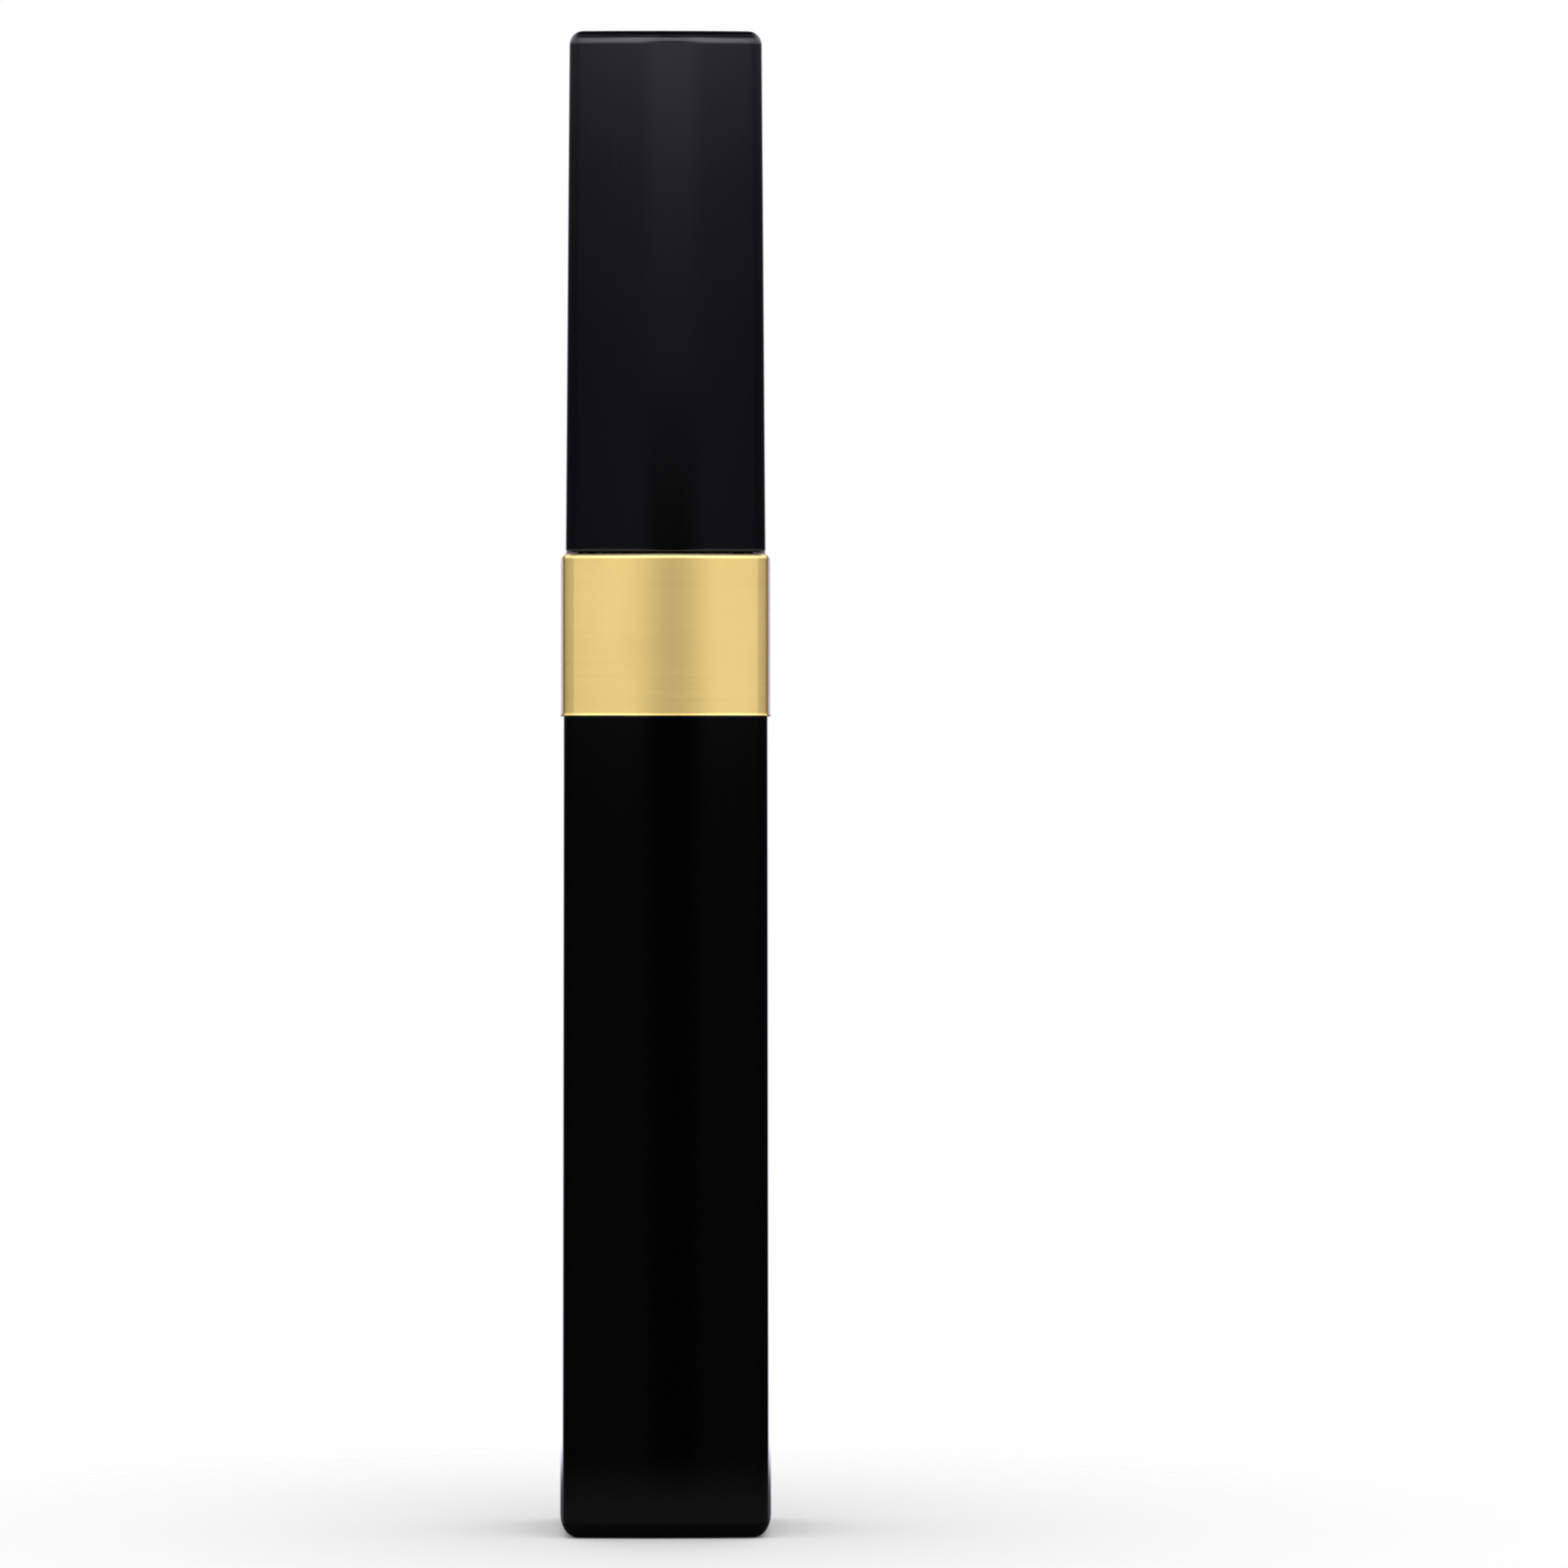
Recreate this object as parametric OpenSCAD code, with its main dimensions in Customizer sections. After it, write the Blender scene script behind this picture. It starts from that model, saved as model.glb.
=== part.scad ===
// Square mascara tube: a case with a round vial inside, a metal band round its
// shoulder, and a screw cap that carries the wand and its moulded brush.
// Everything stands on z = 0 with the tube's axis on Z.

/* [Section] */
// How far each side of the case swells out past its upright edges
side_bow = 0.4; // [0.2:0.05:0.6]
// Radius of the upright edges
edge_round = 1.0; // [0.7:0.05:1.2]

/* [Case] */
// Width across the case at its foot
case_foot_w = 18; // [17.8:0.1:19]
// Width across the case where it meets the band
case_top_w = 17.8; // [17.7:0.05:17.9]
// Height of the case up to the band
case_h = 69.4; // [69:0.2:75]
// Radius of the case's lower edge
foot_round = 1.4; // [0.8:0.1:1.6]
// Thickness of the case's floor
case_floor = 1.7; // [1.4:0.1:1.8]

/* [Band] */
// Width across the metal band
band_w = 17.95; // [17.9:0.05:18]
// Height of the metal band
band_h = 13.7; // [13.4:0.1:14]
// Thickness of the band's sheet
band_sheet = 0.45; // [0.4:0.05:0.5]

/* [Cap] */
// Height of the cap
cap_h = 44.4; // [43:0.2:48]
// Width across the cap at its mouth
cap_mouth_w = 17.45; // [17.3:0.05:17.6]
// Width across the cap at its top
cap_top_w = 16.8; // [16.6:0.05:17.4]
// Radius of the cap's upper edge
cap_round = 1.2; // [0.8:0.1:1.4]
// Height of the crown in the cap's top face
cap_crown = 0.2; // [0.1:0.05:0.3]
// Gap between the cap and the band
cap_gap = 0.15; // [0.1:0.05:0.2]

/* [Vial and neck] */
// Outer diameter of the vial
vial_d = 14.6; // [14.2:0.1:14.8]
// Thickness of the vial's wall
vial_wall = 1.1; // [0.9:0.1:1.2]
// Outer diameter of the neck
neck_d = 11.4; // [11.3:0.05:11.5]
// Height of the neck above the band
neck_h = 8.9; // [8.7:0.1:9.1]

/* [Closure] */
// Rise of the closure's ramps in one full turn
ramp_lead = 5; // [4:0.5:6]
// Angle that each of the neck's two ramps covers
ramp_arc = 108; // [100:2:110]
// Angle that each of the cap's two lugs covers
lug_arc = 50; // [40:2:50]

/* [Wand] */
// Diameter of the wand
wand_d = 4.5; // [4.2:0.1:4.5]
// Length of the wand from the cap's mouth to the brush
wand_reach = 48.9; // [46:0.1:49]

/* [Brush] */
// Length of the brush
brush_l = 27.9; // [24:0.1:28]
// Diameter across the tips of the brush's spikes
brush_d = 8.1; // [7:0.1:8.2]
// Number of rows of spikes round the brush
spike_rows = 12; // [8:2:16]
// Distance between the spikes of one row
spike_pitch = 1.4; // [1.2:0.1:1.8]

/* [Hidden] */
$fn = 72;

side_steps = 6;
edge_steps = 4;
round_steps = 5;
fit_gap = 0.03;
slack = 0.05;
bow_share = side_bow / (case_foot_w / 2);

band_z = case_h;
band_top = band_z + band_h;
cap_z = band_top + cap_gap;
cap_top = band_top + cap_h;
cap_wall = 1.25;
cap_inner_round = 0.8;
neck_top = band_top + neck_h;

spigot_half = band_w / 2 - band_sheet - fit_gap;
cavity_half = 7.65;
spigot_top = band_top - band_sheet - slack;
lip_half = 7.4;

label_w = 11;
label_t = 0.12;
label_recess = 0.25;

neck_r = neck_d / 2;
neck_bore = 4.68;
flange_top = spigot_top - 2.8;
flange_t = 1.4;

wiper_r = neck_bore - fit_gap;
wiper_wall = 0.5;
wiper_flange = 0.8;
wiper_lip_z = neck_top - 12.5;

washer_z = neck_top + wiper_flange + slack;
washer_t = 1;
ceiling_z = washer_z + washer_t + slack;
ceiling_t = 1.6;

skirt_bore = 6.45;
skirt_r = 7.3;
socket_r = 3.8;
socket_top = ceiling_z + 12;
head_r = 2.7;
collar_r = 3.4;
collar_t = 0.8;

rib_root = 1.3;
rib_crest = 0.7;
rib_r = 6.35;
lug_r = 5.85;
ramp_z = neck_top - 5.8;
lug_drop = 0.96;
lug_from = 6;
stop_arc = 4;

wand_end = cap_z - wand_reach;
brush_tip = wand_end - brush_l;
shank_r = 1.1;
shank_l = 8;
core_r = 2.2;
dome_r = 2;
dome_l = 1.3;
first_spike = 1.2;
spike_t = 0.36;

// Radius of a side that swells by its share of the half width
function side_radius(h) = let (bow = bow_share * h) (h * h + bow * bow) / (2 * bow);

// Distance along X and Y of an upright edge's centre, for half width h and edge radius r
function edge_centre(h, r) =
    let (big = side_radius(h), back = big - h)
    (sqrt(2 * pow(big - r, 2) - back * back) - back) / 2;

// Angle at which a side's arc turns into the edge's rounding
function edge_angle(h, r) =
    let (d = edge_centre(h, r)) atan2(d, d - h + side_radius(h));

function turned(p, a) = [p.x * cos(a) - p.y * sin(a), p.x * sin(a) + p.y * cos(a)];

// Outline of a square with bowed sides and rounded edges
function section(h, r) =
    let (
        big = side_radius(h),
        d = edge_centre(h, r),
        turn = edge_angle(h, r),
        side = [for (i = [0:side_steps - 1])
            let (t = turn * (2 * i / side_steps - 1)) [h - big + big * cos(t), big * sin(t)]],
        edge = [for (i = [0:edge_steps - 1])
            let (u = turn + (90 - 2 * turn) * i / edge_steps) [d + r * cos(u), d + r * sin(u)]]
    )
    [for (k = [0:3]) each [for (p = concat(side, edge)) turned(p, 90 * k)]];

// Rings [z, half width, edge radius] round off an edge whose outer corner is at [z, h]
function rounding(z, h, r, by, up) =
    [for (i = [0:round_steps])
        let (a = 90 * (up ? i : round_steps - i) / round_steps, cut = by * (1 - cos(a)))
        [z + (up ? -1 : 1) * by * (1 - sin(a)), h - cut, max(r - cut, 0.3)]];

// Solid with its skin over rings of points, each counter-clockwise seen from the last ring
module skin(rings) {
    n = len(rings[0]);
    last = (len(rings) - 1) * n;
    polyhedron(
        points = [for (ring = rings) each ring],
        faces = concat(
            [[for (i = [0:n - 1]) i]],
            [[for (i = [0:n - 1]) last + n - 1 - i]],
            [for (j = [0:len(rings) - 2], i = [0:n - 1])
                let (a = j * n + i, b = j * n + (i + 1) % n) [a, a + n, b + n]],
            [for (j = [0:len(rings) - 2], i = [0:n - 1])
                let (a = j * n + i, b = j * n + (i + 1) % n) [a, b + n, b]]
        )
    );
}

// Solid through a stack of square sections [z, half width, edge radius]
module loft(stack) {
    skin([for (g = stack) [for (p = section(g[1], g[2])) [p.x, p.y, g[0]]]]);
}

// Upright block with the tube's section, from z0 to z1
module block(z0, z1, h, r) {
    translate([0, 0, z0])
        linear_extrude(z1 - z0)
            polygon(section(h, r));
}

// Helical rib between two radii, with its width at each, rising with the closure's lead
module helix_rib(r_lo, r_hi, w_lo, w_hi, z, from, arc) {
    steps = ceil(arc / 9);
    skin([for (i = [0:steps])
        let (a = from + arc * i / steps, m = z + ramp_lead * a / 360)
        [
            [r_lo * cos(a), r_lo * sin(a), m - w_lo / 2],
            [r_lo * cos(a), r_lo * sin(a), m + w_lo / 2],
            [r_hi * cos(a), r_hi * sin(a), m + w_hi / 2],
            [r_hi * cos(a), r_hi * sin(a), m - w_hi / 2]
        ]]);
}

// One-piece square case, stepped in at the top to carry the band
module outer_case() {
    color("#0c0c0d")
    difference() {
        union() {
            loft(concat(
                rounding(0, case_foot_w / 2, edge_round, foot_round, false),
                [[case_h, case_top_w / 2, edge_round]]
            ));
            block(case_h - 2, spigot_top, spigot_half, edge_round - 0.1);
        }
        block(case_floor, spigot_top + 1, cavity_half, edge_round - 0.1);
        translate([0, 0, -1])
            linear_extrude(1 + label_recess)
                square(label_w + 0.4, center = true);
    }
}

// Plain sticker in the recess under the case
module base_label() {
    color("#d8d8d6")
    translate([0, 0, label_recess - label_t])
        linear_extrude(label_t)
            square(label_w, center = true);
}

// Drawn aluminium sleeve with its top edge turned in over the case's spigot
module gold_band() {
    h = band_w / 2;
    color("#d9c27a")
    difference() {
        loft(concat(
            rounding(band_z + 0.02, h, edge_round, band_sheet / 2, false),
            rounding(band_top, h, edge_round, band_sheet, true)
        ));
        block(band_z - 1, band_top - band_sheet, h - band_sheet, edge_round - 0.2);
        block(band_z, band_top + 1, lip_half, edge_round - 0.2);
    }
}

// Round bottle that holds the mascara, with a square flange that keeps it from turning in
// the case, and the closure's ramps on its neck
module vial() {
    r = vial_d / 2;
    inner = r - vial_wall;
    shoulder = flange_top - 7.5;
    floor_z = case_floor + 1.7;
    color("#151517") {
        difference() {
            union() {
                rotate_extrude()
                    polygon([
                        [0, case_floor], [r - 1, case_floor], [r - 0.3, case_floor + 0.3],
                        [r, case_floor + 1], [r, shoulder], [neck_r, shoulder + 4],
                        [neck_r, neck_top - 0.4], [neck_r - 0.4, neck_top], [0, neck_top]
                    ]);
                block(flange_top - flange_t, flange_top, cavity_half - slack, edge_round - 0.1);
            }
            rotate_extrude()
                polygon([
                    [0, floor_z], [inner - 2.2, floor_z], [inner - 0.7, floor_z + 0.7],
                    [inner, floor_z + 2.2], [inner, shoulder - 0.4],
                    [neck_bore, shoulder + 3.8], [neck_bore, neck_top + 1], [0, neck_top + 1]
                ]);
        }
        for (k = [0:1])
            rotate(180 * k) {
                helix_rib(neck_r - 0.2, rib_r, rib_root, rib_crest, ramp_z, 0, ramp_arc);
                rotate_extrude(angle = stop_arc)
                    translate([neck_r - 0.2, ramp_z - 2])
                        square([rib_r - neck_r + 0.2, 2]);
            }
    }
}

// Square plate pressed into the case's mouth, over the vial's flange
module vial_retainer() {
    color("#1a1a1c")
    difference() {
        block(flange_top + slack, spigot_top, cavity_half - slack, edge_round - 0.1);
        cylinder(r = neck_r + slack, h = band_top);
    }
}

// Soft sleeve in the neck, whose lip strips the wand
module wiper() {
    out = wiper_r;
    bore = out - wiper_wall;
    lip = wand_d / 2 + slack;
    color("#e8e6e0")
    rotate_extrude()
        polygon([
            [bore, neck_top + wiper_flange - 0.3], [bore + 0.3, neck_top + wiper_flange],
            [neck_r - 0.1, neck_top + wiper_flange], [neck_r - 0.1, neck_top], [out, neck_top],
            [out, neck_top - 8], [lip + 0.45, wiper_lip_z], [lip, wiper_lip_z],
            [lip, wiper_lip_z + 0.6], [bore, neck_top - 7.6]
        ]);
}

// Flat washer on the wand, which the cap presses on the neck's rim
module seal_washer() {
    color("#c9c9c4")
    translate([0, 0, washer_z])
        difference() {
            cylinder(r = skirt_bore - 0.2, h = washer_t);
            translate([0, 0, -1])
                cylinder(r = wand_d / 2 + 0.1, h = washer_t + 2);
        }
}

// Tapered square shell with a crowned top
module outer_cap() {
    mouth = cap_mouth_w / 2;
    top = cap_top_w / 2;
    face_z = cap_top - cap_crown;
    face = top - cap_round;
    color("#101012")
    difference() {
        loft(concat(
            [[cap_z, mouth - 0.25, edge_round - 0.2], [cap_z + 0.25, mouth, edge_round]],
            rounding(face_z, top, edge_round, cap_round, true),
            [for (s = [0.75, 0.45, 0.15])
                [face_z + cap_crown * (1 - s * s), face * s, 0.3 * s]]
        ));
        loft([
            [cap_z - 1, mouth - cap_wall, cap_inner_round],
            [face_z - 1.4, top - cap_wall, cap_inner_round]
        ]);
    }
}

// Round insert fixed in the cap: a skirt with two lugs, and a socket for the wand
module inner_cap() {
    skirt_z = cap_z + 0.55;
    color("#1c1c1f") {
        difference() {
            union() {
                translate([0, 0, skirt_z])
                    cylinder(r = skirt_r, h = ceiling_z + ceiling_t - skirt_z);
                translate([0, 0, ceiling_z])
                    cylinder(r = socket_r, h = socket_top - ceiling_z);
                corner_keys(skirt_z + 0.8, ceiling_z);
                cross_ribs(ceiling_z + ceiling_t - 0.5, socket_top + 4);
            }
            translate([0, 0, skirt_z - 1])
                cylinder(r = skirt_bore, h = ceiling_z - skirt_z + 1);
            cylinder(r = collar_r + slack, h = ceiling_z + collar_t + slack);
            cylinder(r = head_r + slack, h = socket_top + 5);
            translate([0, 0, socket_top - 4])
                cylinder(r = head_r + 0.3, h = 1.1);
        }
        for (k = [0:1])
            rotate(180 * k)
                helix_rib(lug_r, skirt_bore + 0.15, rib_crest, rib_root,
                          ramp_z - lug_drop, lug_from, lug_arc);
    }
}

// Keys that reach into the upright edges of the cap, so that the insert can't turn in it
module corner_keys(z0, z1) {
    half = cap_mouth_w / 2 - cap_wall - 0.1;
    reach = sqrt(2) * edge_centre(half, cap_inner_round) + 0.55;
    for (k = [0:3])
        rotate(45 + 90 * k)
            translate([skirt_r - 0.4, -0.5, z0])
                cube([reach - skirt_r + 0.4, 1, z1 - z0]);
}

// Ribs that steady the insert against the sides of the cap
module cross_ribs(z0, z1) {
    reach = cap_top_w / 2 - cap_wall + 0.05;
    for (k = [0:1])
        rotate(90 * k)
            translate([-reach, -0.5, z0])
                cube([2 * reach, 1, z1 - z0]);
}

// Moulded rod, with a head that snaps into the cap's socket
module wand_stem() {
    r = wand_d / 2;
    head_z = ceiling_z + fit_gap;
    head_top = socket_top - 0.5;
    color("#141415")
    difference() {
        rotate_extrude()
            polygon([
                [0, wand_end], [r - 0.2, wand_end], [r, wand_end + 0.2], [r, head_z],
                [collar_r, head_z], [collar_r, head_z + collar_t - fit_gap],
                [head_r, head_z + collar_t - fit_gap], [head_r, socket_top - 3.9],
                [head_r + 0.2, socket_top - 3.6], [head_r + 0.2, socket_top - 3.2],
                [head_r, socket_top - 3], [head_r, head_top - 0.6],
                [head_r - 0.6, head_top], [0, head_top]
            ]);
        translate([0, 0, wand_end - 1])
            cylinder(r = shank_r, h = shank_l + 1);
    }
}

// Radius of the spikes' tips at a distance up from the brush's tip
function spike_reach(up) = min(brush_d / 2, 2.35 + 0.155 * up);

// Star of spikes: half of the rows, and the other half on the next star
module spike_star(up, odd) {
    tip = spike_reach(up);
    root = dome_r - 0.7;
    wide = 10;
    fine = 1;
    step = 720 / spike_rows;
    translate([0, 0, brush_tip + up])
        linear_extrude(spike_t, center = true)
            polygon([for (i = [0:spike_rows / 2 - 1])
                let (a = step * (i + odd / 2 + 0.25))
                each [
                    root * [cos(a - wide), sin(a - wide)],
                    tip * [cos(a - fine), sin(a - fine)],
                    tip * [cos(a + fine), sin(a + fine)],
                    root * [cos(a + wide), sin(a + wide)]
                ]]);
}

// Moulded core with rows of spikes, and a shank held in the wand's bore
module brush() {
    dome = [for (i = [0:5])
        let (a = 18 * i) [dome_r * sin(a), brush_tip + dome_l * (1 - cos(a))]];
    stars = floor(2 * (brush_l - first_spike) / spike_pitch);
    color("#0b0b0c") {
        rotate_extrude()
            polygon(concat(dome, [
                [core_r, brush_tip + 9], [core_r, wand_end],
                [shank_r - fit_gap, wand_end], [shank_r - fit_gap, wand_end + shank_l - 0.6],
                [shank_r - 0.4, wand_end + shank_l - 0.1], [0, wand_end + shank_l - 0.1]
            ]));
        for (i = [0:stars - 1])
            spike_star(first_spike + i * spike_pitch / 2, i % 2);
    }
}

outer_case();
base_label();
gold_band();
vial();
vial_retainer();
wiper();
seal_washer();
outer_cap();
inner_cap();
wand_stem();
brush();
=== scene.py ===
"""A square mascara tube: its case, band, cap, wand and brush, dressed round the CAD frame."""
import logging
import math
import random
from collections.abc import Sequence
from dataclasses import dataclass, field
from enum import Enum
from typing import Any

import bmesh
import bpy
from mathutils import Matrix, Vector, noise


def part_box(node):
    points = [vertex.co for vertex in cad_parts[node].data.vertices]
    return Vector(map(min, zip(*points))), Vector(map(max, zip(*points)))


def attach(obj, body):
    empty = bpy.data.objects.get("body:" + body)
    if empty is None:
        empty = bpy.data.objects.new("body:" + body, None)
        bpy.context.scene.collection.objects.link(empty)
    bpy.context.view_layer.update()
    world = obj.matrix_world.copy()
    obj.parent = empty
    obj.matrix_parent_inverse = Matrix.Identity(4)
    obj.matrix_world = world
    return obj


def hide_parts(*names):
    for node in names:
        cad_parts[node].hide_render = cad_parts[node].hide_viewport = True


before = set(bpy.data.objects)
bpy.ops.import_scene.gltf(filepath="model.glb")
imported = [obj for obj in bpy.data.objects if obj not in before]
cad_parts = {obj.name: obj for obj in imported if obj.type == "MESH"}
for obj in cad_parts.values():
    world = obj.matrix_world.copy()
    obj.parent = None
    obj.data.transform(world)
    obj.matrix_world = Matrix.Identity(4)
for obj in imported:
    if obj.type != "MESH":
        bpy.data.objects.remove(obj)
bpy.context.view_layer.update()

MM = 0.001
Tree, Node, Socket = bpy.types.NodeTree, bpy.types.Node, bpy.types.NodeSocket
Piece = bpy.types.Object
Point = tuple[float, float, float]
Ring = list[Point]

log = logging.getLogger("mascara_tube")


class Body(Enum):
    """The bodies that the new pieces ride on."""

    CONTAINER = "container"
    APPLICATOR = "applicator"


# ---------------- node and colour tools


def linear(colour: str) -> tuple[float, float, float, float]:
    """Turns an sRGB hex colour into the linear one that a shader takes.

    Args:
        colour: the colour, such as "#D9BF75".

    Returns:
        Red, green, blue and an alpha of 1, all linear.
    """
    parts = [int(colour[i:i + 2], 16) / 255 for i in (1, 3, 5)]
    red, green, blue = (p / 12.92 if p <= 0.04045 else ((p + 0.055) / 1.055) ** 2.4 for p in parts)
    return red, green, blue, 1.0


def per_metre(size_mm: float) -> float:
    """Gives the texture scale whose features are this many millimetres apart."""
    return 1.0 / (size_mm * MM)


def add_node(
    tree: Tree, kind: str, settings: dict[str | int, Any] | None = None,
    links: dict[str | int, Socket] | None = None,
) -> Node:
    """Adds a node with its settings and links.

    Args:
        tree: the node tree that it joins.
        kind: the node's type.
        settings: values by the name of a property, or by the name or number of an input. A
            ramp's "stops" are its positions with their colours.
        links: the outputs that feed its inputs, by the input's name or number.

    Returns:
        The new node.
    """
    node = tree.nodes.new(kind)
    for key, value in (settings or {}).items():
        if key == "stops":
            stops = node.color_ramp.elements
            while len(stops) < len(value):
                stops.new(0.5)
            for stop, (position, colour) in zip(stops, value):
                stop.position, stop.color = position, colour
        elif isinstance(key, str) and hasattr(node, key):
            setattr(node, key, value)
        else:
            node.inputs[key].default_value = value
    for key, source in (links or {}).items():
        tree.links.new(source, node.inputs[key])
    return node


# ---------------- finishes


@dataclass(frozen=True)
class Finish:
    """What a piece is made of, and how its surface was made.

    Attributes:
        name: the material's name.
        colour: its sRGB colour.
        roughness: how far it spreads a reflection.
        ior: its refractive index. A metal keeps the default.
        metallic: 1 on a metal.
    """

    name: str
    colour: str
    roughness: float
    ior: float = 1.5
    metallic: float = 0.0

    def material(self) -> bpy.types.Material:
        """Makes the finish's material once, and gives the same one after that."""
        made = bpy.data.materials.get(self.name)
        if made is not None:
            return made
        material = bpy.data.materials.new(self.name)
        material.use_nodes = True
        tree = material.node_tree
        tree.nodes.clear()
        shader = add_node(tree, "ShaderNodeBsdfPrincipled", {
            "Base Color": linear(self.colour),
            "Roughness": self.roughness,
            "IOR": self.ior,
            "Metallic": self.metallic,
        })
        add_node(tree, "ShaderNodeOutputMaterial", links={"Surface": shader.outputs["BSDF"]})
        self.surface(tree, shader)
        return material

    def surface(self, tree: Tree, shader: Node) -> None:
        """Adds what shows of how the surface was made. A finish overrides it with its own."""

    def grain(
        self, tree: Tree, size_mm: float, detail: float = 2.0,
        stretch: Point = (1.0, 1.0, 1.0),
    ) -> Socket:
        """Lays a random grain on the piece, fixed to it.

        Args:
            tree: the material's tree.
            size_mm: the real distance between the grain's features.
            detail: how much finer grain lies on it.
            stretch: how dense it is along each axis, so that a small share draws it out into lines.

        Returns:
            The grain's value, from 0 to 1.
        """
        place = add_node(tree, "ShaderNodeTexCoord")
        drawn = add_node(tree, "ShaderNodeMapping", {"Scale": stretch},
                         {"Vector": place.outputs["Object"]})
        grain = add_node(tree, "ShaderNodeTexNoise",
                         {"Scale": per_metre(size_mm), "Detail": detail, "Roughness": 0.55},
                         {"Vector": drawn.outputs["Vector"]})
        return grain.outputs["Fac"]

    def vary(
        self, tree: Tree, shader: Node, grain: Socket,
        spread: float,
    ) -> None:
        """Lets the roughness wander by the spread to either side, as the grain says."""
        wander = add_node(tree, "ShaderNodeMapRange", {
            "From Min": 0.3, "From Max": 0.7,
            "To Min": self.roughness - spread, "To Max": self.roughness + spread,
        }, {"Value": grain})
        tree.links.new(wander.outputs["Result"], shader.inputs["Roughness"])

    def relief(
        self, tree: Tree, shader: Node, grain: Socket,
        height_mm: float, under: Socket | None = None,
    ) -> Socket:
        """Raises the surface by the grain.

        Args:
            tree: the material's tree.
            shader: the shader that takes the relief.
            grain: the height, from 0 to 1.
            height_mm: the real height of the relief.
            under: a relief that this one lies on.

        Returns:
            The relief's normal, for a finer one to lie on.
        """
        bump = add_node(tree, "ShaderNodeBump", {"Strength": 1.0, "Distance": height_mm * MM},
                        {"Height": grain})
        if under is not None:
            tree.links.new(under, bump.inputs["Normal"])
        tree.links.new(bump.outputs["Normal"], shader.inputs["Normal"])
        return bump.outputs["Normal"]


@dataclass(frozen=True)
class GlossMouldedABS(Finish):
    """ABS from a mirror-polished mould: a deep black that reflects like glass.

    The eye sees reflections that waver a little, because the wall shrank unevenly as it cooled,
    and a trace of hairlines from handling.

    Attributes:
        wave_mm, wave_height_mm: the distance between the slow waves, and their height.
        hairline_mm: the distance between the hairlines.
        dulling: how much rougher or smoother the hairlines make the gloss.
    """

    wave_mm: float = 9.0
    wave_height_mm: float = 0.006
    hairline_mm: float = 0.5
    dulling: float = 0.015

    def surface(self, tree: Tree, shader: Node) -> None:
        """Adds the slow waves of shrinkage, and the hairlines."""
        waves = self.grain(tree, self.wave_mm, 1.0)
        self.relief(tree, shader, waves, self.wave_height_mm)
        hairlines = self.grain(tree, self.hairline_mm, 3.0, (1.0, 1.0, 0.12))
        self.vary(tree, shader, hairlines, self.dulling)


@dataclass(frozen=True)
class SatinAnodisedAluminium(Finish):
    """Aluminium brushed round the sleeve, then anodised gold.

    The fine lines round the sleeve spread a reflection up and down and keep it narrow sideways,
    so the eye sees soft upright bands of light and a satin sheen. The lines are 0.05 mm apart on
    the real sleeve, and are drawn at 0.22 mm so that they show.

    Attributes:
        pale, painted_rim_highlight: the sRGB colours of the dye's thin patches and of the highlight
            painted on the rims.
        grazed: its sRGB tint edge-on, where light goes a long way through the dye.
        line_mm, line_height_mm: the distance between the brushed lines, and their height.
        line_sheen: how much rougher or smoother a line is than its neighbours.
        cloud_mm: the size of the patches where the dye took less.
        brushing: how much the lines draw the light out, from 0 to 1.
        rim: how far a face looks up or down where the painted rim highlight starts, and where it is
            full.
    """

    pale: str = "#F5D782"
    # painted highlight: the paler gold laid on the rims that face up or down
    painted_rim_highlight: str = "#FFEBAE"
    grazed: str = "#7A5620"
    line_mm: float = 0.22
    line_height_mm: float = 0.0001
    line_sheen: float = 0.012
    cloud_mm: float = 5.0
    brushing: float = 1.0
    rim: tuple[float, float] = (0.22, 0.8)

    def surface(self, tree: Tree, shader: Node) -> None:
        """Adds the brushed lines, their spread of light, the dye's faint clouds, and a painted
        highlight on the rims.
        """
        shader.inputs["Anisotropic"].default_value = self.brushing
        shader.inputs["Anisotropic Rotation"].default_value = 0.25
        shader.inputs["Specular Tint"].default_value = linear(self.grazed)
        around = add_node(tree, "ShaderNodeTangent", {"direction_type": "RADIAL", "axis": "Z"})
        tree.links.new(around.outputs["Tangent"], shader.inputs["Tangent"])
        lines = self.grain(tree, self.line_mm, 2.0, (0.012, 0.012, 1.0))
        self.relief(tree, shader, lines, self.line_height_mm)
        self.vary(tree, shader, lines, self.line_sheen)
        clouds = self.grain(tree, self.cloud_mm, 2.0, (1.0, 1.0, 0.35))
        dye = add_node(tree, "ShaderNodeValToRGB", {
            "stops": [(0.35, linear(self.pale)), (0.65, linear(self.colour))],
        }, {"Fac": clouds})
        # Painted highlight: a paler gold is mixed into the base colour where the face looks steeply
        # up or down, so the rims read bright.
        surface = add_node(tree, "ShaderNodeNewGeometry")
        faces = add_node(tree, "ShaderNodeSeparateXYZ", links={0: surface.outputs["Normal"]})
        steep = add_node(tree, "ShaderNodeMath", {"operation": "ABSOLUTE"},
                         {0: faces.outputs["Z"]})
        rim = add_node(tree, "ShaderNodeMapRange", {
            "interpolation_type": "SMOOTHSTEP",
            "From Min": self.rim[0], "From Max": self.rim[1],
        }, {"Value": steep.outputs[0]})
        colour = add_node(tree, "ShaderNodeMix", {"data_type": "RGBA", 7: linear(self.painted_rim_highlight)},
                          {0: rim.outputs["Result"], 6: dye.outputs["Color"]})
        tree.links.new(colour.outputs[2], shader.inputs["Base Color"])


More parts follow.
